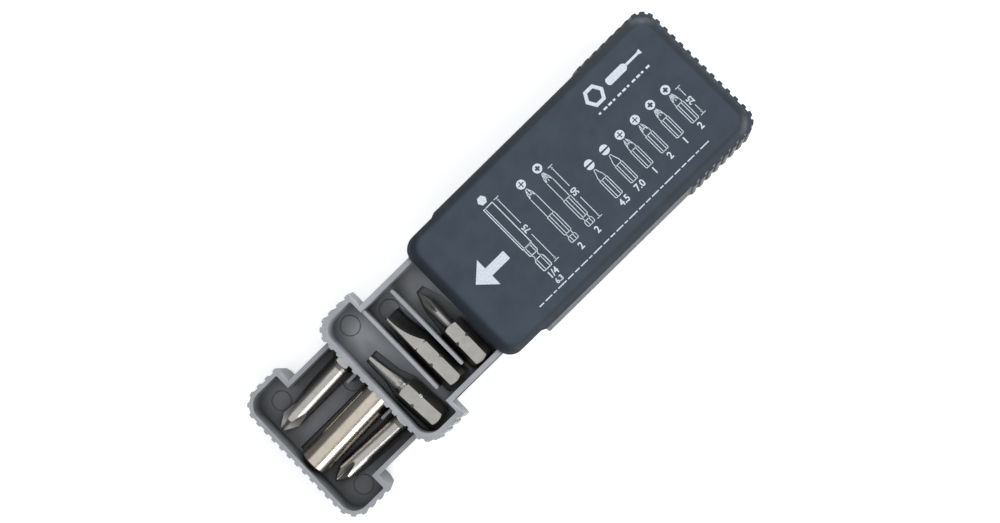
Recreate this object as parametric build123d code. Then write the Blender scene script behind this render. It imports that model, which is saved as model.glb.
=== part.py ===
"""Pocket bit box: a sleeve case that is open at one end, with two stacked drawers of driver bits.

Millimetres, +Z up. +X runs from the open mouth towards the closed rear of the case. The origin is the
middle of the whole box's footprint with the drawers part way out, and z = 0 is the surface it lies on.
The upper drawer carries six short bits across it. The lower drawer carries two long bits and a magnetic
bit holder along it. Every tool lies in a shaped pocket of its drawer.
"""

import os
from math import cos, degrees, radians, sin, sqrt, tan

from build123d import *

# Case, in heights above the surface
CASE_HEIGHT = 25.0
CASE_FLOOR = 1.4
DECK_BOTTOM = 11.7  # the deck is the plate between the two channels
DECK_TOP = 12.6
ROOF_BOTTOM = 23.0
WAIST = 12.0  # the widest level: the walls lean in above and below it
CASE_WIDTH = 45.0  # at the waist
CASE_BODY_LENGTH = 78.2  # mouth to rear wall at the waist
CASE_CORNER = 5.4
UPPER_LEAN = 6.5  # degrees of draft above the waist
LOWER_LEAN = 4.3
CASE_BOTTOM_ROUND = 2.2
CHANNEL_WIDTH = 36.2
REAR_WALL = 3.1  # at the waist
CORE_WIDTH = 1.2  # slot that keeps the side walls evenly thin
CORE_OUTER_WALL = 2.0
CORE_DEPTH = 66.0

# Tongue: the cover plate carries on past the mouth, over the upper drawer's end
TONGUE_LENGTH = 12.8
TONGUE_WIDTH = 41.0
TONGUE_CORNER = 4.3
SHOULDER = 1.2

# Pillow: the rounded border between the cover's flat face and the walls
FLAT_WIDTH = 35.8
FLAT_CORNER = 2.8
PILLOW_REACH = 3.5
PILLOW_DROP = 1.7

# Drawers
UPPER_OPEN = 30.8
LOWER_OPEN = 60.6
STEM_LENGTH = 74.5  # the narrow part, which slides in the case
DRAWER_LEAN = 5.0
DRAWER_RIM_UPPER = 22.7
DRAWER_RIM_LOWER = 11.5
UPPER_STEM_BOTTOM = 12.8
UPPER_END_BOTTOM = 11.7
UPPER_END_LENGTH = 13.0  # at the rim
UPPER_END_WIDTH = 42.9  # at the rim
UPPER_STEM_WIDTH = 35.0
UPPER_STEM_INNER = 32.1
LOWER_STEM_BOTTOM = 1.6
LOWER_END_BOTTOM = 0.2
LOWER_END_LENGTH = 14.1
LOWER_END_WIDTH = 44.8
LOWER_STEM_WIDTH = 35.8
LOWER_STEM_INNER = 33.2
UPPER_END_WALL = 1.3
UPPER_END_REAR_WALL = 1.1
LOWER_END_WALL = 1.1
LOWER_END_REAR_WALL = 1.5
STEM_END_WALL = 1.3
END_CORNER_ROUND = 0.4  # of the upright corners at a wide end's rear face
END_CORNER = 5.6
UPPER_TRAY_FLOOR = 14.9
UPPER_POCKET_FLOOR = 13.7
LOWER_TRAY_FLOOR = 3.5
LOWER_POCKET_FLOOR = 2.4
SEAT_GAP = 0.05  # between a tool and the pocket it lies in
MARK_DIAMETER = 6.0  # rings left by the mould's ejector pins
MARK_WIDTH = 0.35
MARK_DEPTH = 0.25

# Grip ribs
CASE_RIB_HEIGHT = 0.55
CASE_RIB_WIDTH = 1.5
CASE_RIB_PITCH = 2.87
CASE_RIB_FIRST = 1.7  # from where the ribbed side starts to the middle of its first rib
CASE_RIB_START = 26.0  # length of ribbed side, measured back from the rear wall
CASE_RIB_FOOT = 1.6
RIB_ROOT = -1.5  # how far a rib reaches into its wall
RIB_ROUND = 0.3
DRAWER_RIB_HEIGHT = 0.5
DRAWER_RIB_WIDTH = 1.5
DRAWER_RIB_PITCH = 3.0
DRAWER_RIB_FIRST = 0.85  # from the wide end's rear face

# Dividers of the upper drawer
DIVIDER_THICKNESS = 0.9
DIVIDER_TOP = 22.2
FENCE_THICKNESS = 0.8  # the lower drawer's two lengthwise dividers
BIT_PITCH = 9.1
THIRD_EXTRA = 1.0  # the third compartment is wider than the rest by this
POCKET_ROUND = 1.8
SLOT_POCKET = [(4.0, 0.0), (4.0, 13.8), (3.9, 20.0), (2.3, 26.6)]  # half widths along the pocket
END_POCKET = [(3.95, 0.0), (3.95, 13.8), (2.6, 18.2), (2.0, 26.2)]
CROSS_POCKET = [(3.9, 0.0), (3.9, 13.6), (3.0, 21.0), (1.2, 26.2)]
POCKET_START = -15.9  # Y of a pocket's square end
END_POCKET_PLACE = {"x": -6.55, "y": -19.6, "turn": 3.7}  # from the wide end's rear face

# Tools: a 1/4 inch hexagon drive
HEX = 6.35  # across flats
NOTCH_FROM_END = 8.0
SHORT_DRIVE = 13.0  # length of a short bit's hexagon
WIDE_DRIVE = 13.9  # the same, on the wide slotted bit
SHORT_BIT = 25.0
LONG_BIT = 50.0
LONG_SHANK = 25.5
HOLDER_LENGTH = 75.0
HOLDER_TUBE = 49.0
HOLDER_DIAMETER = 9.1
HOLDER_WALL_CHAMFER = 0.4
HOLDER_SOCKET_DEPTH = 17.0
MAGNET_RADIUS = 3.0
MAGNET_LENGTH = 3.0
RING_X = 71.0  # along the holder, from its drive end
RING_RADIUS = 3.45
RING_WIRE = 0.7
CROSS_NOSES = {  # radius of the nose, of its blunt end and of its neck, and length of its cone
    1: {"radius": 1.85, "blunt": 0.42, "neck": 1.55, "cone": 3.5},
    2: {"radius": 2.85, "blunt": 0.8, "neck": 2.75, "cone": 3.9},
}

# Places along X, worked out from the lengths above
OVERALL = CASE_BODY_LENGTH + CASE_RIB_HEIGHT + LOWER_OPEN + LOWER_END_LENGTH + DRAWER_RIB_HEIGHT
REAR_X = OVERALL / 2 - CASE_RIB_HEIGHT
MOUTH_X = REAR_X - CASE_BODY_LENGTH
TONGUE_X = MOUTH_X - TONGUE_LENGTH
UPPER_X = MOUTH_X - UPPER_OPEN  # rear face of the upper drawer's wide end
LOWER_X = MOUTH_X - LOWER_OPEN

# Where each tool lies: its tip, measured along X from the rear face of its drawer's wide end, then the
# tip's Y and the heading of its axis in degrees. Short bits point across the drawer, long ones forwards.
DIVIDERS = 6
SHORT_BITS = {
    "bit_slotted_4_5": {"tip": "slot_narrow", "x": -8.2, "y": 6.2, "heading": 93.7},
    "bit_slotted_7_0": {"tip": "slot_wide", "x": 3.75, "y": 10.3, "heading": 90.9},
    "bit_phillips_1": {"tip": "phillips", "size": 1, "x": 13.0, "y": 9.4, "heading": 89.7},
    "bit_phillips_2": {"tip": "phillips", "size": 2, "x": 23.1, "y": 9.6, "heading": 89.6},
    "bit_pozidriv_1": {"tip": "pozidriv", "size": 1, "x": 32.3, "y": 9.3, "heading": 90.3},
    "bit_pozidriv_2": {"tip": "pozidriv", "size": 2, "x": 41.4, "y": 9.6, "heading": 90.0},
}
LONG_BITS = {
    "long_bit_phillips_2": {"tip": "phillips", "size": 2, "roll": 42,
                            "x": -12.0, "y": 10.1, "heading": 182.5},
    "long_bit_pozidriv_2": {"tip": "pozidriv", "size": 2, "roll": 6,
                            "x": -11.0, "y": -10.7, "heading": 178.0},
}
HOLDER_PLACE = {"x": -11.6, "y": -2.86, "heading": 182.2}
UPPER_MARKS = [(-6.6, 16.4), (4.1, 12.0), (60.0, 9.0), (60.0, -9.0)]
LOWER_MARKS = [(-7.1, 16.1), (-6.6, -16.8), (11.3, 6.0), (66.0, 13.0), (66.0, -13.0)]

# Outlines of the long bits' pockets, as points from the lower drawer's wide end
LONG_POCKETS = [
    [(-11.9, 10.7), (-7.4, 13.1), (5.0, 14.4), (39.6, 15.4),
     (39.6, 7.7), (8.0, 7.5), (-7.4, 7.5), (-11.9, 9.5)],
    [(-10.9, -11.4), (-6.5, -13.7), (5.0, -14.7), (39.6, -16.0),
     (39.6, -8.3), (-6.5, -8.0), (-10.9, -10.0)],
]
TROUGH_FRONT = -12.2  # the holder's trough
TROUGH_REAR = 64.6
TROUGH_Y = (-6.8, 3.0)
FENCES_Y = (6.3, -7.4)
FENCE_START = 11.0


def block(low, high):
    """A box between two opposite corners."""
    size = [b - a for a, b in zip(low, high)]
    middle = [(a + b) / 2 for a, b in zip(low, high)]
    return Pos(*middle) * Box(*size)


def rounded_outline(x0, x1, width, front_corner, rear_corner):
    """A flat outline from x0 to x1, centred on Y, with its own corner radius at each end."""
    shape = Pos((x0 + x1) / 2, 0) * Rectangle(x1 - x0, width)
    for x, radius in ((x0, front_corner), (x1, rear_corner)):
        if radius:
            ends = [v for v in shape.vertices() if abs(v.X - x) < 0.01]
            shape = fillet(ends, radius)
    return shape


def leaning_block(outline, level, height, lean):
    """The outline raised from a level by a height, up or down, with walls that lean inwards."""
    return extrude(Pos(0, 0, level) * outline, amount=height, taper=lean)


def rib(profile, width):
    """One vertical grip rib on a wall through the YZ plane's origin, standing out along +X.

    The profile gives its outer face as (height, stand-out) points, from the bottom up.
    """
    outer = [(out, z) for z, out in profile]
    outline = [(RIB_ROOT, outer[0][1]), *outer, (RIB_ROOT, outer[-1][1])]
    face = Plane.XZ * make_face(Polyline(*outline, close=True))
    body = extrude(face, amount=width / 2, both=True)
    upright = [e for e in body.edges() if abs(e.center().Y) > width / 2 - 0.01
               and e.center().X > RIB_ROOT / 2 and abs(e.tangent_at(0.5).Z) > 0.9]
    return fillet(upright, RIB_ROUND)


def wall_stations(start_x, end_x, width, corner, pitch, first):
    """Places and headings along a U-shaped wall: a side, a corner, the end, a corner and the other side.

    The end wall is at end_x, and the sides run back to start_x. Each station is (x, y, heading) with
    the heading in degrees, outwards from the wall. The pitch is adjusted so that it divides evenly.
    """
    direction = 1 if end_x > start_x else -1
    side = abs(end_x - start_x) - corner
    bend = corner * radians(90)
    across = width - 2 * corner
    total = 2 * side + 2 * bend + across
    count = round((total - 2 * first) / pitch)
    step = (total - 2 * first) / count
    stations = []
    for i in range(count + 1):
        s = first + i * step
        mirrored = s > total / 2
        s = min(s, total - s)
        if s < side:
            x, y, heading = s, width / 2, 90
        elif s < side + bend:
            angle = (s - side) / corner
            x = side + corner * sin(angle)
            y = width / 2 - corner + corner * cos(angle)
            heading = 90 - degrees(angle)
        else:
            x, y, heading = side + corner, width / 2 - corner - (s - side - bend), 0
        if mirrored:
            y, heading = -y, -heading
        if direction < 0:
            heading = 180 - heading
        stations.append((start_x + direction * x, y, heading))
    return stations


def ribs_along(stations, tooth):
    """The same rib at every station."""
    return [Pos(x, y, 0) * Rot(0, 0, heading) * tooth for x, y, heading in stations]


def ejector_mark(x, y, floor):
    """The thin ring that a mould's ejector pin leaves in a floor, as the solid to cut away."""
    ring = Circle(MARK_DIAMETER / 2) - Circle(MARK_DIAMETER / 2 - MARK_WIDTH)
    return extrude(Pos(x, y, floor - MARK_DEPTH) * ring, amount=MARK_DEPTH + 0.1)


# ---- Case ----


def pillow_cutter():
    """What is cut away around the cover's flat face, leaving a border that rolls over to the walls."""
    lean = (CASE_HEIGHT - WAIST) * tan(radians(UPPER_LEAN))
    x1 = REAR_X - lean - PILLOW_REACH + PILLOW_DROP * tan(radians(UPPER_LEAN))
    x0 = TONGUE_X + PILLOW_REACH
    flat = rounded_outline(x0, x1, FLAT_WIDTH, FLAT_CORNER, FLAT_CORNER)
    path = Pos(0, 0, CASE_HEIGHT) * flat.wire()
    start = path @ 0.25
    tangent = path % 0.25
    outward = tangent.cross(Vector(0, 0, 1))
    if outward.dot(Vector(start.X - (x0 + x1) / 2, start.Y, 0)) < 0:
        outward = outward * -1
    section_plane = Plane(origin=start, x_dir=outward, z_dir=outward.cross(Vector(0, 0, 1)))
    roll = ThreePointArc((0, 0), (PILLOW_REACH * 0.62, -PILLOW_DROP * 0.34), (PILLOW_REACH, -PILLOW_DROP))
    rest = Polyline(
        (PILLOW_REACH, -PILLOW_DROP), (PILLOW_REACH + 6, -PILLOW_DROP), (PILLOW_REACH + 6, 1), (0, 1), (0, 0)
    )
    section = section_plane * make_face([roll, rest])
    return sweep(section, path=path)


def case_shell():
    """The drafted body and the tongue, solid."""
    outline = rounded_outline(MOUTH_X - 12, REAR_X, CASE_WIDTH, 0, CASE_CORNER)
    upper = leaning_block(outline, WAIST, CASE_HEIGHT - WAIST, UPPER_LEAN)
    lower = leaning_block(outline, WAIST, -WAIST, LOWER_LEAN)
    base_edges = lower.faces().sort_by(Axis.Z)[0].edges().filter_by(lambda e: e.center().X > MOUTH_X - 11)
    lower = fillet(base_edges, CASE_BOTTOM_ROUND)
    body = (upper + lower) & block((MOUTH_X, -40, -1), (REAR_X + 5, 40, CASE_HEIGHT + 1))
    half = TONGUE_WIDTH / 2
    tongue = rounded_outline(TONGUE_X, MOUTH_X + 4, TONGUE_WIDTH, TONGUE_CORNER, 0)
    slant = [(MOUTH_X - SHOULDER, half), (MOUTH_X, half + SHOULDER / 2), (MOUTH_X, half - 1)]
    tongue += make_face(Polyline(*slant, close=True))
    tongue += make_face(Polyline(*[(x, -y) for x, y in slant], close=True))
    return body + extrude(Pos(0, 0, ROOF_BOTTOM) * tongue, amount=CASE_HEIGHT - ROOF_BOTTOM)


def make_case():
    top = CASE_HEIGHT - PILLOW_DROP + 0.1
    tooth = rib([(CASE_RIB_FOOT, CASE_RIB_HEIGHT - (WAIST - CASE_RIB_FOOT) * tan(radians(LOWER_LEAN))),
                 (WAIST, CASE_RIB_HEIGHT),
                 (top, CASE_RIB_HEIGHT - (top - WAIST) * tan(radians(UPPER_LEAN)))], CASE_RIB_WIDTH)
    stations = wall_stations(REAR_X - CASE_RIB_START, REAR_X, CASE_WIDTH, CASE_CORNER,
                             CASE_RIB_PITCH, CASE_RIB_FIRST)
    case = case_shell() + ribs_along(stations, tooth)
    case -= pillow_cutter()
    half = CHANNEL_WIDTH / 2
    cavity_end = REAR_X - REAR_WALL
    case -= block((MOUTH_X - 1, -half, CASE_FLOOR), (cavity_end, half, DECK_BOTTOM))
    case -= block((MOUTH_X - 1, -half, DECK_TOP), (cavity_end, half, ROOF_BOTTOM))
    core_y = CASE_WIDTH / 2 - CORE_OUTER_WALL - CORE_WIDTH / 2
    for side in (-1, 1):
        for low, high in ((CASE_FLOOR + 1.6, DECK_BOTTOM), (DECK_TOP, ROOF_BOTTOM - 2)):
            y0, y1 = side * core_y - CORE_WIDTH / 2, side * core_y + CORE_WIDTH / 2
            case -= block((MOUTH_X - 1, y0, low), (MOUTH_X + CORE_DEPTH, y1, high))
    return case


# ---- Drawers ----


def divider_x(index):
    """Where the middle of one of the upper drawer's dividers is. The first backs its wide end."""
    extra = THIRD_EXTRA if index > 1 else 0
    return UPPER_X - DIVIDER_THICKNESS / 2 + index * BIT_PITCH + extra


def pocket(sides):
    """A short bit's pocket along +Y, from its square end at y = 0. The sides are (half width, y) points."""
    outline = [(-w, y) for w, y in sides] + list(reversed(sides))
    shape = make_face(Polyline(*outline, close=True))
    shape = fillet([v for v in shape.vertices() if abs(v.Y) < 0.01], POCKET_ROUND)
    return extrude(shape, amount=UPPER_TRAY_FLOOR - UPPER_POCKET_FLOOR + 0.1)


def drawer_end(rear_x, length, width, rim, bottom, lean_up):
    """The wide end of a drawer, solid, with its ribs. It leans in upwards, or else downwards."""
    height = rim - bottom
    spread = height * tan(radians(DRAWER_LEAN)) if lean_up else 0
    front_x = rear_x - length - spread
    wide = width + 2 * spread
    outline = rounded_outline(front_x, rear_x + 6, wide, END_CORNER, 0)
    if lean_up:
        end = leaning_block(outline, bottom, height, DRAWER_LEAN)
        tooth = rib([(bottom, DRAWER_RIB_HEIGHT), (rim, DRAWER_RIB_HEIGHT - spread)], DRAWER_RIB_WIDTH)
    else:
        end = leaning_block(outline, rim, -height, DRAWER_LEAN)
        base_edges = end.faces().sort_by(Axis.Z)[0].edges().filter_by(lambda e: e.center().X < rear_x + 5)
        end = fillet(base_edges, 1.8)
        foot = bottom + 1.4
        inset = (rim - foot) * tan(radians(DRAWER_LEAN))
        tooth = rib([(foot, DRAWER_RIB_HEIGHT - inset), (rim, DRAWER_RIB_HEIGHT)], DRAWER_RIB_WIDTH)
    end &= block((front_x - 5, -40, bottom - 1), (rear_x, 40, rim + 1))
    corners = [e for e in end.edges() if abs(e.center().X - rear_x) < 0.01 and e.length > height * 0.6]
    end = fillet(corners, END_CORNER_ROUND)
    stations = wall_stations(rear_x, front_x, wide, END_CORNER, DRAWER_RIB_PITCH, DRAWER_RIB_FIRST)
    return end + ribs_along(stations, tooth)


def drawer_cavity(rear_x, length, width, wall, rear_wall, stem_inner, floor, rim):
    """The T-shaped space inside a drawer."""
    pad = rounded_outline(rear_x - length + wall, rear_x - rear_wall, width - 2 * wall,
                          END_CORNER - wall, 0.5)
    lane = rounded_outline(rear_x - length / 2, rear_x + STEM_LENGTH - STEM_END_WALL, stem_inner, 0, 0.5)
    return extrude(Pos(0, 0, floor) * (pad + lane), amount=rim - floor + 1)


def make_upper_drawer():
    end = drawer_end(UPPER_X, UPPER_END_LENGTH, UPPER_END_WIDTH, DRAWER_RIM_UPPER, UPPER_END_BOTTOM, True)
    half = UPPER_STEM_WIDTH / 2
    stem = block((UPPER_X - 2, -half, UPPER_STEM_BOTTOM), (UPPER_X + STEM_LENGTH, half, DRAWER_RIM_UPPER))
    drawer = end + stem
    drawer -= drawer_cavity(UPPER_X, UPPER_END_LENGTH, UPPER_END_WIDTH, UPPER_END_WALL, UPPER_END_REAR_WALL,
                            UPPER_STEM_INNER, UPPER_TRAY_FLOOR, DRAWER_RIM_UPPER)
    hollow = rounded_outline(UPPER_X - UPPER_END_LENGTH + UPPER_END_WALL, UPPER_X - UPPER_END_WALL,
                             UPPER_END_WIDTH - 2 * UPPER_END_WALL, END_CORNER - UPPER_END_WALL, 0.5)
    drawer -= extrude(Pos(0, 0, UPPER_END_BOTTOM - 1) * hollow,
                      amount=UPPER_STEM_BOTTOM - UPPER_END_BOTTOM + 1)
    height = DIVIDER_TOP - UPPER_TRAY_FLOOR + 0.5
    mid = UPPER_TRAY_FLOOR - 0.5 + height / 2
    inner = UPPER_STEM_INNER / 2
    for i in range(DIVIDERS):
        y1 = inner + 0.5 if i == 0 else inner - 1.4
        y0 = -inner + 3.7
        bar = Pos(divider_x(i), (y0 + y1) / 2, mid) * Box(DIVIDER_THICKNESS, y1 - y0, height)
        upright = bar.edges().filter_by(Axis.Z)
        drawer += fillet(upright, DIVIDER_THICKNESS * 0.45)
    drawer -= (Pos(UPPER_X + END_POCKET_PLACE["x"], END_POCKET_PLACE["y"], UPPER_POCKET_FLOOR)
               * Rot(0, 0, END_POCKET_PLACE["turn"]) * pocket(END_POCKET))
    for i in range(1, DIVIDERS):
        sides = SLOT_POCKET if i == 1 else CROSS_POCKET
        x = (divider_x(i - 1) + divider_x(i)) / 2
        drawer -= Pos(x, POCKET_START, UPPER_POCKET_FLOOR) * pocket(sides)
    for x, y in UPPER_MARKS:
        drawer -= ejector_mark(UPPER_X + x, y, UPPER_TRAY_FLOOR)
    return drawer


def make_lower_drawer():
    end = drawer_end(LOWER_X, LOWER_END_LENGTH, LOWER_END_WIDTH, DRAWER_RIM_LOWER, LOWER_END_BOTTOM, False)
    half = LOWER_STEM_WIDTH / 2
    stem = block((LOWER_X - 2, -half, LOWER_STEM_BOTTOM), (LOWER_X + STEM_LENGTH, half, DRAWER_RIM_LOWER))
    drawer = end + stem
    drawer -= drawer_cavity(LOWER_X, LOWER_END_LENGTH, LOWER_END_WIDTH, LOWER_END_WALL, LOWER_END_REAR_WALL,
                            LOWER_STEM_INNER, LOWER_TRAY_FLOOR, DRAWER_RIM_LOWER)
    depth = DRAWER_RIM_LOWER - LOWER_POCKET_FLOOR
    for outline in LONG_POCKETS:
        lane = extrude(make_face(Polyline(*outline, close=True)), amount=depth)
        drawer -= Pos(LOWER_X, 0, LOWER_POCKET_FLOOR) * lane
    drawer -= block((LOWER_X + TROUGH_FRONT, TROUGH_Y[0], LOWER_POCKET_FLOOR),
                    (LOWER_X + TROUGH_REAR, TROUGH_Y[1], DRAWER_RIM_LOWER))
    half = FENCE_THICKNESS / 2
    for y in FENCES_Y:
        low, high = LOWER_POCKET_FLOOR - 0.3, DRAWER_RIM_LOWER - 0.8
        fence = block((LOWER_X + FENCE_START, y - half, low), (LOWER_X + STEM_LENGTH - 1.0, y + half, high))
        tips = [e for e in fence.edges().filter_by(Axis.Z) if e.center().X < LOWER_X + FENCE_START + 1]
        drawer += fillet(tips, half * 0.8)
    for x, y in LOWER_MARKS:
        drawer -= ejector_mark(LOWER_X + x, y, LOWER_TRAY_FLOOR)
    return drawer


# ---- Tools: each lies along +X, its square end at x = 0 and its tip at x = length ----


def hex_bar(length, across_flats=HEX):
    """A hexagonal bar along +X with a flat on top."""
    section = RegularPolygon(across_flats / 2, 6, major_radius=False)
    return extrude(Plane.YZ * section, amount=length)


def turned(points):
    """A solid turned about the X axis from (x, radius) points."""
    outline = [(points[0][0], 0)] + points + [(points[-1][0], 0)]
    return revolve(Plane.XY * make_face(Polyline(*outline, close=True)), Axis.X)


def drive_end(length, grooved):
    """The hexagon end of a bit: chamfered, with corner notches, or a ring groove on a long shank."""
    corner = HEX / sqrt(3)
    bar = hex_bar(length)
    envelope = turned([(0, HEX / 2 - 0.25), (0.7, corner + 0.02), (length - 0.5, corner + 0.02),
                       (length, HEX / 2 - 0.1)])
    bar &= envelope
    floor = HEX / 2 - 0.8 if grooved else HEX / 2 + 0.2
    reach = 1.9 if grooved else 0.8
    bow = ThreePointArc((NOTCH_FROM_END - reach, corner + 0.4), (NOTCH_FROM_END, floor),
                        (NOTCH_FROM_END + reach, corner + 0.4))
    groove = make_face([bow, Line(bow @ 0, bow @ 1)])
    return bar - revolve(Plane.XY * groove, Axis.X)


def flute_wheel(tip_x, core, run, radius, ribbed):
    """The V-edged wheel that mills one flute of a cross tip, above it.

    The edge of the V is the core's distance from the axis at the tip, and leaves the nose after the run.
    A ribbed flute keeps a fine rib along its bottom.
    """
    wheel = (run ** 2 + (radius - core) ** 2) / (2 * (radius - core))
    reach = radius * 2
    edge = [(0, -wheel), (reach, reach - wheel), (-reach, reach - wheel)]
    if ribbed:
        half = core * 0.28
        edge = [(-half, half - wheel), (-half, core * 0.65 - wheel), (half, core * 0.65 - wheel),
                (half, half - wheel)] + edge[1:]
    section = Plane.YZ * make_face(Polyline(*edge, close=True))
    return Pos(tip_x, 0, core + wheel) * revolve(section, Axis.Y)


def cross_nose(start, length, kind, size, roll):
    """The nose of a cross-tipped bit, from x = start to the tip at x = length."""
    nose = CROSS_NOSES[size]
    radius, blunt, cone = nose["radius"], nose["blunt"], nose["cone"]
    point = {"phillips": 0.25, "pozidriv": 0.4}[kind]
    core = blunt * {"phillips": 0.55, "pozidriv": 0.7}[kind]
    run = {1: 7.6, 2: 8.6}[size]
    body = turned([(start, nose["neck"]), (start + 1.2, nose["neck"]), (length - cone, radius),
                   (length - point, blunt), (length, blunt * 0.45)])
    wheel = flute_wheel(length, core, run, radius, kind == "pozidriv")
    for quarter in range(4):
        body -= Rot(90 * quarter, 0, 0) * wheel
    return Rot(roll, 0, 0) * body


def narrow_blade(start, length):
    """A tapered flat tip 4.5 mm wide, standing on edge, behind a short neck."""
    nose = turned([(start, 2.1), (start + 0.9, 1.9), (start + 2.2, 2.25), (length, 2.25)])
    base, tip = 2.0, 0.4
    upper = ThreePointArc((start, base), (start + 5.9, 1.0), (length, tip))
    lower = ThreePointArc((length, -tip), (start + 5.9, -1.0), (start, -base))
    side = make_face([upper, Line((length, tip), (length, -tip)), lower, Line((start, -base), (start, base))])
    return nose & extrude(Plane.XY * side, amount=4, both=True)


def wide_blade(start, length):
    """A flat tip as wide as the hexagon, ground hollow on both faces, rolled onto one of the flats."""
    half = HEX / 2
    bar = turned([(start, HEX / sqrt(3)), (length - 0.3, 3.5), (length, 3.35)])
    upper = ThreePointArc((start, half), (start + 4.6, 1.35), (length, 0.6))
    lower = ThreePointArc((length, -0.6), (start + 4.6, -1.35), (start, -half))
    ends = [Line((length, 0.6), (length, -0.6)), Line((start, -half), (start, half))]
    profile = make_face([upper, ends[0], lower, ends[1]])
    blade = Rot(60, 0, 0) * (bar & extrude(Plane.XZ * profile, amount=5, both=True))
    return blade & hex_bar(length)


def make_short_bit(tip, size=None, **place):
    """A 25 mm bit of the given tip."""
    if tip == "slot_wide":
        return drive_end(WIDE_DRIVE, False) + wide_blade(WIDE_DRIVE - 0.1, SHORT_BIT)
    drive = drive_end(SHORT_DRIVE, False)
    if tip == "slot_narrow":
        return drive + narrow_blade(SHORT_DRIVE - 0.1, SHORT_BIT)
    return drive + cross_nose(SHORT_DRIVE - 0.1, SHORT_BIT, tip, size, 0)


def make_long_bit(tip, size, roll, **place):
    """A 50 mm bit: a grooved power shank, a slim shaft and a cross tip."""
    shank = drive_end(LONG_SHANK, True)
    radius = CROSS_NOSES[size]["neck"]
    shaft = turned([(LONG_SHANK - 0.1, HEX / 2 - 0.1), (LONG_SHANK + 1.2, radius), (LONG_BIT - 9.0, radius)])
    return shank + shaft + cross_nose(LONG_BIT - 9.1, LONG_BIT, tip, size, roll)


def make_holder_sleeve():
    """The rolled sleeve of the bit holder, with its socket, ring groove and seam."""
    start = HOLDER_LENGTH - HOLDER_TUBE
    r = HOLDER_DIAMETER / 2
    c = HOLDER_WALL_CHAMFER
    sleeve = turned([(start, r - c), (start + c, r), (HOLDER_LENGTH - c, r), (HOLDER_LENGTH, r - c)])
    sleeve -= Pos(start - 1, 0, 0) * hex_bar(HOLDER_TUBE + 2, HEX + 0.1)
    groove = Pos(RING_X, 0, 0) * Rot(0, 90, 0) * Torus(RING_RADIUS, RING_WIRE / 2 + 0.05)
    seam = Rot(-20, 0, 0) * block((start - 1, -0.09, r - 0.25), (HOLDER_LENGTH + 1, 0.09, r + 1))
    return sleeve - groove - seam


def make_holder_shank():
    """The hexagon that the sleeve is pressed onto, with the ring groove of a power shank."""
    length = HOLDER_LENGTH - HOLDER_SOCKET_DEPTH - MAGNET_LENGTH
    return drive_end(length, True)


def make_holder_magnet():
    """The disc magnet at the bottom of the socket."""
    start = HOLDER_LENGTH - HOLDER_SOCKET_DEPTH - MAGNET_LENGTH
    return turned([(start, MAGNET_RADIUS), (start + MAGNET_LENGTH, MAGNET_RADIUS)])


def make_holder_ring():
    """The open spring ring that grips a bit in the socket."""
    ring = Pos(RING_X, 0, 0) * Rot(0, 90, 0) * Torus(RING_RADIUS, RING_WIRE / 2)
    gap = Rot(70, 0, 0) * block((RING_X - 2, -1.1, 0), (RING_X + 2, 1.1, 6))
    return ring - gap


def laid(tool, length, place, drawer_x, floor, radius):
    """The tool moved to where it lies: its tip at the place given, its underside just off the floor."""
    spot = Pos(drawer_x + place["x"], place["y"], floor + radius + SEAT_GAP)
    return spot * Rot(0, 0, place["heading"]) * Pos(-length, 0, 0) * tool


def main():
    os.makedirs("parts", exist_ok=True)
    nodes = {
        "case_sleeve": make_case(),
        "upper_drawer": make_upper_drawer(),
        "lower_drawer": make_lower_drawer(),
    }
    for name, bit in SHORT_BITS.items():
        nodes[name] = laid(make_short_bit(**bit), SHORT_BIT, bit, UPPER_X, UPPER_POCKET_FLOOR, HEX / 2)
    for name, bit in LONG_BITS.items():
        nodes[name] = laid(make_long_bit(**bit), LONG_BIT, bit, LOWER_X, LOWER_POCKET_FLOOR, HEX / 2)
    holder = {
        "holder_sleeve": make_holder_sleeve(),
        "holder_shank": make_holder_shank(),
        "holder_magnet": make_holder_magnet(),
        "holder_ring": make_holder_ring(),
    }
    radius = HOLDER_DIAMETER / 2
    for name, piece in holder.items():
        nodes[name] = laid(piece, HOLDER_LENGTH, HOLDER_PLACE, LOWER_X, LOWER_POCKET_FLOOR, radius)
    for name, shape in nodes.items():
        export_step(shape, f"parts/{name}.step")


main()
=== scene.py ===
"""Looks of the pocket bit box: materials, the cover's printed pictograms, floor, light and camera."""

from itertools import cycle
from math import cos, pi, radians, sin

import bmesh
import bpy
from mathutils import Matrix, Vector


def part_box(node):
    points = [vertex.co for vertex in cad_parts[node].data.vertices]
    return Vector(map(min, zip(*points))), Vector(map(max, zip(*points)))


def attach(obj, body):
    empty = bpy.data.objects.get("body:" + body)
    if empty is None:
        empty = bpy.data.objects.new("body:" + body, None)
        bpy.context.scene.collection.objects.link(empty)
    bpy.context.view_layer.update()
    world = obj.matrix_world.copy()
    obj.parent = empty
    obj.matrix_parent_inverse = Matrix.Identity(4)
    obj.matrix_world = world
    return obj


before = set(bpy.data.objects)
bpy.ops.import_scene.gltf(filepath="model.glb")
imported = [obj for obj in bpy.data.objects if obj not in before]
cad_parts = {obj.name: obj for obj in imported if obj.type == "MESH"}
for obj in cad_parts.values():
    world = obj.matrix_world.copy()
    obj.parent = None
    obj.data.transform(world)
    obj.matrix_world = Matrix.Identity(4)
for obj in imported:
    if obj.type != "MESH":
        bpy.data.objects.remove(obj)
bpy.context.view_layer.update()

MM = 0.001
COVER_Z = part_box("case_sleeve")[1].z
INK = 0.03 * MM  # how far the print stands proud of the cover


# ---- Material helpers ----


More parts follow.
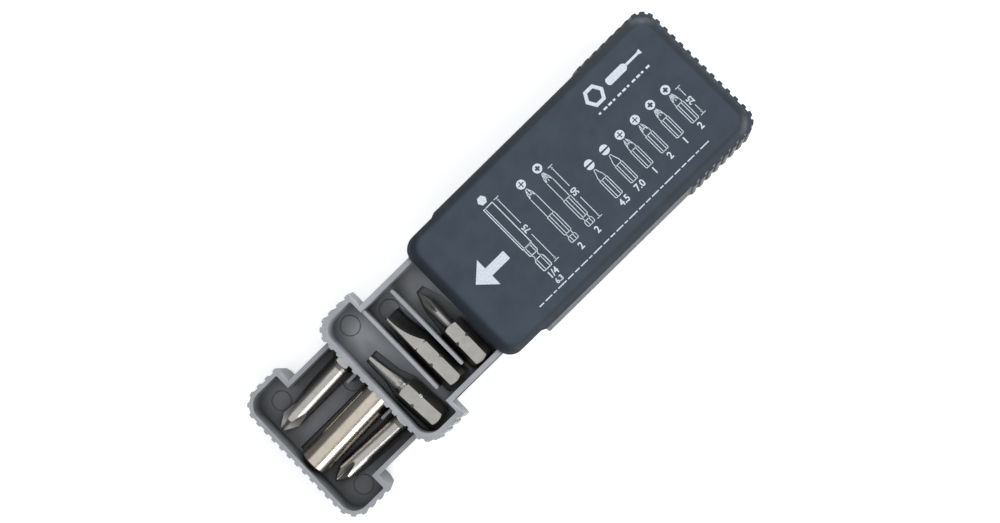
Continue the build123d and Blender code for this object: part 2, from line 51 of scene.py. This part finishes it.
class Shader:
    """A material's node tree, with short calls for the nodes used here."""

    def __init__(self, name):
        self.material = bpy.data.materials.new(name)
        self.material.use_nodes = True
        self.tree = self.material.node_tree
        self.surface = self.tree.nodes["Principled BSDF"]
        self.place = self.node("ShaderNodeTexCoord").outputs["Object"]

    def node(self, kind, **settings):
        made = self.tree.nodes.new(kind)
        for key, value in settings.items():
            setattr(made, key, value)
        return made

    def feed(self, socket, value):
        if isinstance(value, bpy.types.NodeSocket):
            self.tree.links.new(value, socket)
        else:
            socket.default_value = value

    def put(self, **sockets):
        """Sets the surface's own sockets, with words in place of spaces in their names."""
        for key, value in sockets.items():
            self.feed(self.surface.inputs[key.replace("_", " ")], value)

    def stretched(self, scale, turn=0.0):
        """Object coordinates turned about Z and stretched, for grain with a direction."""
        mapping = self.node("ShaderNodeMapping")
        self.feed(mapping.inputs["Vector"], self.place)
        mapping.inputs["Rotation"].default_value = (0, 0, turn)
        mapping.inputs["Scale"].default_value = scale
        return mapping.outputs["Vector"]

    def noise(self, scale, detail=2.0, rough=0.5, where=None):
        made = self.node("ShaderNodeTexNoise")
        self.feed(made.inputs["Vector"], where or self.place)
        made.inputs["Scale"].default_value = scale
        made.inputs["Detail"].default_value = detail
        made.inputs["Roughness"].default_value = rough
        return made.outputs["Fac"]

    def ramp(self, value, low, high, out_low=0.0, out_high=1.0):
        made = self.node("ShaderNodeMapRange")
        self.feed(made.inputs["Value"], value)
        limits = {"From Min": low, "From Max": high, "To Min": out_low, "To Max": out_high}
        for key, number in limits.items():
            made.inputs[key].default_value = number
        return made.outputs["Result"]

    def mix(self, amount, first, second, blend="MIX"):
        made = self.node("ShaderNodeMix", data_type="RGBA", blend_type=blend)
        self.feed(made.inputs["Factor"], amount)
        self.feed(made.inputs["A"], first if isinstance(first, bpy.types.NodeSocket) else (*first, 1))
        self.feed(made.inputs["B"], second if isinstance(second, bpy.types.NodeSocket) else (*second, 1))
        return made.outputs["Result"]

    def sum(self, first, second, how="ADD"):
        made = self.node("ShaderNodeMath", operation=how)
        self.feed(made.inputs[0], first)
        self.feed(made.inputs[1], second)
        return made.outputs[0]

    def bump(self, height, depth, strength=1.0, normal=None):
        made = self.node("ShaderNodeBump")
        self.feed(made.inputs["Height"], height)
        made.inputs["Distance"].default_value = depth
        made.inputs["Strength"].default_value = strength
        if normal is not None:
            self.feed(made.inputs["Normal"], normal)
        return made.outputs["Normal"]

    def soft_edges(self, radius):
        made = self.node("ShaderNodeBevel", samples=6)
        made.inputs["Radius"].default_value = radius
        return made.outputs["Normal"]

    def edge_mask(self, radius):
        """About 1 along sharp edges and 0 elsewhere."""
        bevel = self.soft_edges(radius)
        plain = self.node("ShaderNodeNewGeometry").outputs["Normal"]
        dot = self.node("ShaderNodeVectorMath", operation="DOT_PRODUCT")
        self.feed(dot.inputs[0], bevel)
        self.feed(dot.inputs[1], plain)
        return self.ramp(dot.outputs["Value"], 0.995, 0.86)

    def level_mask(self):
        """1 where the surface faces straight up, and 0 where it leans."""
        split = self.node("ShaderNodeSeparateXYZ")
        self.feed(split.inputs[0], self.node("ShaderNodeNewGeometry").outputs["Normal"])
        return self.ramp(split.outputs["Z"], 0.965, 0.995)

    def shade_in_hollows(self, distance):
        """Low where the surface is deep in a corner, from ambient occlusion."""
        made = self.node("ShaderNodeAmbientOcclusion", samples=8)
        made.inputs["Distance"].default_value = distance
        return made.outputs["AO"]


def tint(colour, factor, lift=0.0):
    """The colour made lighter or darker, kept within 1."""
    return tuple(min(1, c * factor + lift) for c in colour)


def moulded_plastic(name, colour, roughness, grain, hollow, reach, gloss, leaning_shade=1.0):
    """Injection-moulded plastic: fine spark grain, faint flow clouds, rubbed edges, and painted shade that
    darkens the hollows.

    hollow and reach are how strong and how wide the painted shade in hollows is. The last argument, below 1,
    darkens what doesn't lie level, as painted shade on the moulding's sloping border.
    """
    s = Shader(name)
    clouds = s.noise(160, 3)
    grain_height = s.noise(5200, 2, 0.6)
    rubbed = s.sum(s.edge_mask(0.25 * MM), s.ramp(s.noise(900, 3), 0.42, 0.62), "MULTIPLY")
    base = s.mix(s.ramp(clouds, 0.35, 0.65), tint(colour, 0.90), tint(colour, 1.08, 0.002))
    # painted shade: what doesn't lie level, such as the case's sloping border, is darkened against the level
    # flat
    if leaning_shade < 1:
        base = s.mix(s.level_mask(), s.mix(1.0, base, (leaning_shade,) * 3, "MULTIPLY"), base)
    base = s.mix(s.sum(rubbed, 0.5, "MULTIPLY"), base, tint(colour, 1.5, 0.02))
    # painted shade: the colour darkens deep in hollows and corners, from ambient occlusion
    painted_hollow_shade = s.ramp(s.shade_in_hollows(reach), 0.1, 0.9, hollow, 0.0)
    base = s.mix(painted_hollow_shade, base, tint(colour, 0.13))
    s.put(Base_Color=base, Specular_IOR_Level=gloss)
    s.put(Roughness=s.ramp(s.noise(700, 4), 0.3, 0.7, roughness - 0.06, roughness + 0.07))
    s.put(Normal=s.bump(grain_height, grain, 0.5, s.soft_edges(0.12 * MM)))
    return s.material


def worked_steel(name, colour, roughness, turn, brushed=0.004, hollow=0.92):
    """Satin tool steel with fine lines along the tool, faint stains, bright rubbed edges and painted shade in
    hollows.

    brushed is how deep the lines are, in millimetres, and hollow is how strong the painted shade in hollows
    is.
    """
    s = Shader(name)
    lines = s.noise(1.0, 3, 0.6, s.stretched((260, 9000, 9000), turn))
    stains = s.noise(420, 4, 0.6)
    base = s.mix(s.ramp(stains, 0.3, 0.9, 0.0, 0.6), colour, tint(colour, 0.72))
    base = s.mix(s.sum(s.edge_mask(0.12 * MM), 0.55, "MULTIPLY"), base, tint(colour, 1.45))
    # painted shade: the steel darkens deep in hollows, flutes and gaps, from ambient occlusion
    painted_hollow_shade = s.ramp(s.shade_in_hollows(2.5 * MM), 0.15, 0.85, hollow, 0.0)
    base = s.mix(painted_hollow_shade, base, tint(colour, 0.12))
    s.put(Base_Color=base, Metallic=1.0)
    s.put(Roughness=s.ramp(s.sum(lines, stains), 0.7, 1.3, roughness - 0.04, roughness + 0.06))
    s.put(Normal=s.bump(lines, brushed * MM, 0.6, s.soft_edges(0.08 * MM)))
    return s.material


def printing_ink():
    """Silver-white screen print, a little thin in places."""
    s = Shader("cover_ink")
    thin = s.ramp(s.noise(2600, 3), 0.3, 0.55)
    s.put(Base_Color=s.mix(thin, (0.42, 0.47, 0.53), (0.60, 0.66, 0.73)))
    s.put(Roughness=s.ramp(s.noise(1500, 2), 0.3, 0.7, 0.42, 0.58))
    s.put(Normal=s.bump(s.noise(6000, 2), 0.006 * MM, 0.4))
    return s.material


def dress(node, material):
    """Gives a CAD node its material."""
    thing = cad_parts[node]
    thing.data.materials.clear()
    thing.data.materials.append(material)


SLATE = (0.027, 0.042, 0.061)
GREY = (0.30, 0.315, 0.335)
SHORT_BIT_STEEL = (0.38, 0.37, 0.35)
LONG_BIT_STEEL = (0.42, 0.41, 0.39)
WARM_NICKEL = (0.52, 0.47, 0.40)
BRIGHT_NICKEL = (0.70, 0.70, 0.70)
SPRING_WIRE = (0.40, 0.40, 0.41)
UPPER_SHADE_REACH = 7 * MM  # how wide the painted shade in hollows is: wider in the lower drawer, which lies deeper
LOWER_SHADE_REACH = 16 * MM

dress("case_sleeve", moulded_plastic("case_plastic", SLATE, roughness=0.46, grain=0.012 * MM, hollow=0.3,
                                     reach=3 * MM, gloss=0.35, leaning_shade=0.55))
for drawer, reach in (("upper_drawer", UPPER_SHADE_REACH), ("lower_drawer", LOWER_SHADE_REACH)):
    dress(drawer, moulded_plastic(f"{drawer}_plastic", GREY, roughness=0.52, grain=0.015 * MM, hollow=1.0,
                                  reach=reach, gloss=0.4))
across = worked_steel("bit_steel_across", SHORT_BIT_STEEL, 0.34, turn=radians(90))
along = worked_steel("bit_steel_along", LONG_BIT_STEEL, 0.30, turn=0.0, hollow=0.7)
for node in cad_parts:
    if node.startswith("bit_"):
        dress(node, across)
    elif node.startswith("long_bit_") or node == "holder_shank":
        dress(node, along)
plating = worked_steel("holder_plating", WARM_NICKEL, 0.22, turn=0.0, brushed=0.0012, hollow=0.45)
dress("holder_sleeve", plating)
dress("holder_magnet", worked_steel("magnet_plating", BRIGHT_NICKEL, 0.25, turn=0.0))
dress("holder_ring", worked_steel("ring_wire", SPRING_WIRE, 0.35, turn=0.0))


# ---- Print on the cover: plain pictograms, drawn in millimetres in the frame's X and Y ----

ink = printing_ink()
LINE = 0.26  # the holder's outline
THIN = 0.2  # the other drawn lines
DISC = 1.3  # radius of a drive symbol
BIG_NUMBER = 1.95  # heights of the printed numbers
LENGTH_NUMBER = 1.7
SMALL_NUMBER = 1.5


def printed(name, outlines=(), ribbons=(), pierced=(), words=()):
    """One flat printed piece.

    outlines are closed shapes, ribbons are (points, width) strokes, pierced are (outline, hole) pairs
    and words are (text, x, y, height, turn in degrees) with numbers only.
    """
    bm = bmesh.new()
    for outline in outlines:
        slab(bm, outline)
    for points, width in ribbons:
        slab(bm, ribbon_outline(points, width))
    for outer, hole in pierced:
        add_mesh(bm, filled_curve([outer, hole]))
    for word in words:
        add_mesh(bm, number_mesh(*word))
    bmesh.ops.recalc_face_normals(bm, faces=bm.faces)
    mesh = bpy.data.meshes.new(name)
    bm.to_mesh(mesh)
    bm.free()
    piece = bpy.data.objects.new(name, mesh)
    bpy.context.scene.collection.objects.link(piece)
    mesh.materials.append(ink)
    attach(piece, "case")
    return piece


def slab(bm, outline):
    """A thin prism of ink on the cover."""
    low = [bm.verts.new((x * MM, y * MM, COVER_Z - INK)) for x, y in outline]
    high = [bm.verts.new((x * MM, y * MM, COVER_Z + INK)) for x, y in outline]
    bm.faces.new(low)
    bm.faces.new(high)
    for i in range(len(outline)):
        j = (i + 1) % len(outline)
        bm.faces.new((low[i], low[j], high[j], high[i]))


def add_mesh(bm, mesh):
    """Adds a temporary mesh to the one being built, and removes it."""
    bm.from_mesh(mesh)
    bpy.data.meshes.remove(mesh)


def curve_to_mesh(curve, place=Matrix()):
    """The curve's filled mesh, moved into place; the curve itself is removed."""
    holder = bpy.data.objects.new("temporary", curve)
    bpy.context.scene.collection.objects.link(holder)
    bpy.context.view_layer.update()
    evaluated = holder.evaluated_get(bpy.context.evaluated_depsgraph_get())
    mesh = bpy.data.meshes.new_from_object(evaluated)
    mesh.transform(place)
    bpy.data.objects.remove(holder)
    bpy.data.curves.remove(curve)
    mesh.materials.clear()
    return mesh


def filled_curve(outlines):
    """A flat shape with holes, as thick as the ink."""
    curve = bpy.data.curves.new("temporary", "CURVE")
    curve.dimensions = "2D"
    curve.fill_mode = "BOTH"
    curve.extrude = INK
    for outline in outlines:
        spline = curve.splines.new("POLY")
        spline.points.add(len(outline) - 1)
        for point, (x, y) in zip(spline.points, outline):
            point.co = (x * MM, y * MM, 0, 1)
        spline.use_cyclic_u = True
    return curve_to_mesh(curve, Matrix.Translation((0, 0, COVER_Z)))


def number_mesh(text, x, y, height, turn=0):
    """A size number in Blender's own plain font, centred at x, y."""
    curve = bpy.data.curves.new("temporary", "FONT")
    curve.body = text
    curve.size = height * MM * 1.38
    curve.extrude = INK
    curve.offset = height * MM * 0.034
    curve.align_x = "CENTER"
    curve.align_y = "CENTER"
    narrow = Matrix.Diagonal((0.92, 1, 1, 1))
    place = Matrix.Translation((x * MM, y * MM, COVER_Z)) @ Matrix.Rotation(radians(turn), 4, "Z") @ narrow
    return curve_to_mesh(curve, place)


def ribbon_outline(points, width):
    """The outline of a stroke along the points, with mitred corners."""
    path = [Vector(p) for p in points]
    left, right = [], []
    for i, p in enumerate(path):
        before = (p - path[i - 1]).normalized() if i else None
        after = (path[i + 1] - p).normalized() if i + 1 < len(path) else None
        heading = ((before or after) + (after or before)).normalized()
        side = Vector((-heading.y, heading.x))
        reach = width / 2 / max(0.4, heading.dot(after or before))
        left.append(tuple(p + side * reach))
        right.append(tuple(p - side * reach))
    return left + right[::-1]


def polygon(x, y, radius, sides, turn=0.0):
    """A regular outline; many sides make a disc."""
    angles = [turn + 2 * pi * i / sides for i in range(sides)]
    return [(x + radius * cos(a), y + radius * sin(a)) for a in angles]


def mirrored(x0, half):
    """A closed outline from its right half, given as (distance from x0, y) points from top to bottom."""
    right = [(x0 + d, y) for d, y in half]
    left = [(x0 - d, y) for d, y in reversed(half)]
    return right + left


def loop(points):
    """The points closed into a stroke that ends where it starts."""
    return points + points[:1]


def cross_hole(x, y, arm, half):
    """The outline of a plus sign."""
    corner = [(arm, half), (half, half), (half, arm)]
    outline = []
    for quarter in range(4):
        for dx, dy in corner:
            for _ in range(quarter):
                dx, dy = -dy, dx
            outline.append((x + dx, y + dy))
    return outline


def drive_symbol(name, x, y, kind):
    """A disc that shows the drive's recess."""
    if kind == "slot":
        top = [(x + DISC * cos(radians(a)), y + 0.12 + DISC * sin(radians(a))) for a in range(4, 177, 12)]
        bottom = [(px, 2 * y - py) for px, py in top]
        return printed(name, outlines=[top, bottom])
    half = 0.15 if kind == "phillips" else 0.28
    arm = 0.92 if kind == "phillips" else 0.75
    return printed(name, pierced=[(polygon(x, y, DISC, 40), cross_hole(x, y, arm, half))])


def dimension(name, x, top, bottom, text, gap):
    """A dimension line with end bars and dots, broken for its number, which reads upwards."""
    middle = (top + bottom) / 2
    bar = 0.8
    ribbons = [([(x - bar, y), (x + bar, y)], THIN) for y in (top, bottom)]
    ribbons += [([(x, top), (x, middle + gap)], THIN), ([(x, middle - gap), (x, bottom)], THIN)]
    dots = [polygon(x, top - 0.75, 0.26, 16), polygon(x, bottom + 0.75, 0.26, 16)]
    return printed(name, outlines=dots, ribbons=ribbons, words=[(text, x, middle, LENGTH_NUMBER, 90)])


def wing_lines(x, tip, base, half, kind):
    """The lines inside a drawn cross tip."""
    mid = (tip + base) / 2
    lines = [([(x - half * 0.25, tip - 0.1), (x - half * 0.35, mid), (x - half, base)], THIN),
             ([(x + half * 0.25, tip - 0.1), (x + half * 0.35, mid), (x + half, base)], THIN),
             ([(x - half * 0.35, mid), (x, mid - (tip - base) * 0.18), (x + half * 0.35, mid)], THIN)]
    if kind == "pozidriv":
        lines.append(([(x, tip - 0.2), (x, base + 0.2)], THIN))
    return lines


def long_bit_symbol(name, x, kind):
    """A 50 mm bit, drawn from its tip at the top down to its grooved shank."""
    tip, nose, shank, collar, end, foot = 8.35, 5.5, -0.75, -7.2, -8.3, -9.95
    shaft, hexagon, neck, inner = 1.0, 1.2, 0.78, 0.48
    outline = [(0.3, tip), (0.85, tip - 1.6), (shaft, nose), (shaft, shank)]
    ribbons = [([(x + s * d, y) for d, y in outline], THIN) for s in (-1, 1)]
    ribbons += [([(x - 0.34, tip), (x + 0.34, tip)], THIN)]
    above_groove = [(hexagon, shank), (hexagon, collar + 0.2), (hexagon - 0.2, collar)]
    below_groove = [(hexagon - 0.2, end), (hexagon, end - 0.3), (hexagon, foot + 0.3), (hexagon - 0.25, foot)]
    ribbons += [(loop(mirrored(x, half)), THIN) for half in (above_groove, below_groove)]
    for s in (-1, 1):
        ribbons.append(([(x + s * inner, shank), (x + s * inner, collar)], THIN))
        ribbons.append(([(x + s * neck, collar), (x + s * neck, end)], THIN))
        ribbons.append(([(x + s * inner, end), (x + s * inner, foot)], THIN))
    ribbons += wing_lines(x, tip, nose, shaft, kind)
    return printed(name, ribbons=ribbons)


def short_bit_symbol(name, x, kind):
    """A 25 mm bit, drawn tip up."""
    tip, shoulder, top, foot = -0.35, -2.75, -3.75, -9.7
    hexagon, inner = 1.2, 0.55
    ribbons = [(loop(mirrored(x, [(hexagon, top), (hexagon, foot + 0.25), (hexagon - 0.22, foot)])), THIN)]
    ribbons += [([(x + s * inner, top), (x + s * inner, foot)], THIN) for s in (-1, 1)]
    if kind == "slot":
        half = [(0.28, tip - 0.2), (0.42, tip - 0.9), (0.98, shoulder), (1.0, top)]
        ribbons += [([(x + s * d, y) for d, y in half], THIN) for s in (-1, 1)]
        ribbons += [([(x - 0.36, tip - 0.2), (x + 0.36, tip - 0.2)], THIN)]
    else:
        half = [(0.25, tip + 0.1), (0.72, tip - 1.0), (0.98, shoulder), (1.0, top)]
        ribbons += [([(x + s * d, y) for d, y in half], THIN) for s in (-1, 1)]
        ribbons += wing_lines(x, tip + 0.1, shoulder, 0.95, kind)
    return printed(name, ribbons=ribbons)


def ring(outline, width):
    """A closed outline and the hole inside it that leaves a line of the width given."""
    middle = sum((Vector(p) for p in outline), Vector((0, 0))) / len(outline)
    inner = []
    for i, point in enumerate(outline):
        p = Vector(point)
        before = (p - Vector(outline[i - 1])).normalized()
        after = (Vector(outline[(i + 1) % len(outline)]) - p).normalized()
        heading = (before + after).normalized()
        side = Vector((-heading.y, heading.x))
        if side.dot(middle - p) < 0:
            side = -side
        inner.append(tuple(p + side * width / max(0.4, heading.dot(after))))
    return outline, inner


def print_emblem():
    """A plain emblem, a hexagon nut and a driver over a row of dashes, and fine dashes along the edge."""
    x, y = 49.6, 13.3
    handle = [(54.6, 12.2), (60.2, 12.2), (60.9, 12.7), (60.9, 13.9),
              (60.2, 14.4), (54.6, 14.4), (54.1, 13.8), (54.1, 12.8)]
    blade = [(60.9, 12.95), (65.2, 12.95), (66.2, 12.6), (66.2, 14.0), (65.2, 13.65), (60.9, 13.65)]
    printed("print_emblem", outlines=[handle, blade],
            pierced=[(polygon(x, y, 3.1, 6), polygon(x, y, 2.0, 6))])
    row_start, row_y, row_pitch, long_dash, short_dash, row_width = 47.0, 8.95, 1.7, 1.2, 0.7, 0.55
    row = []
    for i in range(11):
        left = row_start + i * row_pitch
        row.append(([(left, row_y), (left + (long_dash if i % 3 else short_dash), row_y)], row_width))
    printed("print_emblem_row", ribbons=row)
    edge_start, edge_end, edge_y, edge_gap, edge_width = 1.0, 61, -15.85, 0.55, 0.32
    fine, at = [], edge_start
    for run in cycle((1.6, 2.4, 1.1, 3.0, 2.0)):
        if at >= edge_end:
            break
        fine.append(([(at, edge_y), (at + run, edge_y)], edge_width))
        at += run + edge_gap
    printed("print_edge_row", ribbons=fine)


def print_cover():
    """Everything printed on the cover, from the mouth end to the rear."""
    printed("print_arrow", outlines=[[(-6.8, -0.15), (-2.1, -4.55), (-2.1, -1.45), (4.4, -1.45),
                                      (4.4, 1.15), (-2.1, 1.15), (-2.1, 4.25)]])
    printed("print_hexagon", outlines=[polygon(9.65, 14.4, 1.35, 6)])
    left, right, top, collar, neck, shank, foot = 8.05, 11.4, 12.35, -2.4, -4.95, -6.5, -10.15
    sleeve = [(left, top), (right, top), (right, collar), (left, collar)]
    centre = (left + right) / 2
    above_groove = [(1.35, collar), (1.35, neck + 0.3), (1.1, neck)]
    below_groove = [(1.1, shank), (1.4, shank - 0.5), (1.4, foot + 0.3), (1.15, foot)]
    drawn = [([(left + 0.65, top), (left + 0.65, collar)], THIN),
             (loop(mirrored(centre, above_groove)), LINE),
             (loop(mirrored(centre, below_groove)), LINE)]
    for side in (-1, 1):
        drawn.append(([(centre + side * 0.75, collar), (centre + side * 0.75, neck)], THIN))
        drawn.append(([(centre + side * 1.05, neck), (centre + side * 0.62, (neck + shank) / 2),
                       (centre + side * 1.05, shank)], THIN))
        drawn.append(([(centre + side * 0.7, shank), (centre + side * 0.7, foot)], THIN))
    printed("print_holder", ribbons=drawn, pierced=[ring(sleeve, LINE)],
            words=[("1/4", centre, -12.0, 1.9, 0), ("6.3", centre, -14.3, SMALL_NUMBER, 0)])
    dimension("print_length_75", 12.75, 12.3, -10.1, "75", 2.0)

    long_start, long_pitch = 19.8, 5.95
    for i, (kind, number) in enumerate((("phillips", "2"), ("pozidriv", "2"))):
        x = long_start + i * long_pitch
        drive_symbol(f"print_long_drive_{i + 1}", x, 10.2, kind)
        long_bit_symbol(f"print_long_bit_{i + 1}", x, kind)
        printed(f"print_long_size_{i + 1}", words=[(number, x, -12.1, BIG_NUMBER, 0)])
    dimension("print_length_50", 28.5, 8.3, -10.05, "50", 2.0)

    short = (("slot", "4.5"), ("slot", "7.0"), ("phillips", "1"), ("phillips", "2"),
             ("pozidriv", "1"), ("pozidriv", "2"))
    short_start, short_pitch = 36.0, 5.52
    for i, (kind, number) in enumerate(short):
        x = short_start + i * short_pitch
        drive_symbol(f"print_short_drive_{i + 1}", x, 1.42, kind)
        short_bit_symbol(f"print_short_bit_{i + 1}", x, kind)
        printed(f"print_short_size_{i + 1}", words=[(number, x, -11.6, BIG_NUMBER, 0)])
    dimension("print_length_25", 66.35, -0.3, -9.7, "25", 1.6)
    print_emblem()


print_cover()


# ---- Floor, light and camera ----

FLOOR_GLOW = 0.35  # the floor is a lit table, which keeps it white round the object
WORLD_STRENGTH = 0.22
LIGHT_AIM = Vector((0, 0, 12)) * MM  # the middle of the box
LIGHTS = {  # place in metres, size in metres, power in watts
    "overhead": ((0.0, 0.1, 1.0), 1.2, 4.6),
    "side": ((-0.32, -0.82, 0.62), 0.6, 5.0),
    "low_key": ((0.62, -0.62, 0.32), 0.6, 6.0),
    "low_fill": ((0.62, 0.56, 0.32), 0.6, 6.0),
}
CAMERA_PLACE = Vector((4.03, -15.8, 297.0)) * MM
CAMERA_AIM = Vector((1.9, -0.25, 25.0)) * MM
CAMERA_TURN = radians(44.54)  # the picture's right, turned from +X towards -Y
CAMERA_LENS = 37.8


def make_floor():
    """A plain pale floor, with a hair of tooth so that it isn't a flat colour."""
    bpy.ops.mesh.primitive_plane_add(size=6, location=(0, 0, 0))
    floor = bpy.context.object
    floor.name = "floor"
    s = Shader("floor_card")
    s.put(Base_Color=s.mix(s.noise(300, 2), (0.88, 0.88, 0.885), (0.92, 0.92, 0.92)))
    s.put(Roughness=0.9, Emission_Color=(1, 1, 1, 1), Emission_Strength=FLOOR_GLOW)
    floor.data.materials.append(s.material)


def area_light(name, place, size, energy):
    """A square softbox aimed at the middle of the box."""
    data = bpy.data.lights.new(name, "AREA")
    data.shape = "SQUARE"
    data.size = size
    data.energy = energy
    light = bpy.data.objects.new(name, data)
    light.location = place
    light.rotation_euler = (LIGHT_AIM - Vector(place)).to_track_quat("-Z", "Y").to_euler()
    bpy.context.scene.collection.objects.link(light)


def make_world():
    """Even, slightly cool light from all round."""
    world = bpy.data.worlds.new("studio")
    world.use_nodes = True
    background = world.node_tree.nodes["Background"]
    background.inputs["Color"].default_value = (0.93, 0.95, 1.0, 1)
    background.inputs["Strength"].default_value = WORLD_STRENGTH
    bpy.context.scene.world = world


def make_camera():
    """Nearly straight down, with the case running up to the right of the picture."""
    data = bpy.data.cameras.new("camera")
    data.lens = CAMERA_LENS
    data.sensor_width = 36
    data.clip_start = 0.01
    camera = bpy.data.objects.new("camera", data)
    place = CAMERA_PLACE
    back = (place - CAMERA_AIM).normalized()
    right = Vector((cos(CAMERA_TURN), -sin(CAMERA_TURN), 0))
    right = (right - back * right.dot(back)).normalized()
    up = back.cross(right)
    camera.matrix_world = Matrix((
        (right.x, up.x, back.x, place.x),
        (right.y, up.y, back.y, place.y),
        (right.z, up.z, back.z, place.z),
        (0, 0, 0, 1)))
    bpy.context.scene.collection.objects.link(camera)
    bpy.context.scene.camera = camera


bpy.context.scene.view_settings.view_transform = "Standard"
make_floor()
make_world()
for lamp, (place, size, power) in LIGHTS.items():
    area_light(lamp, place, size, power)
make_camera()
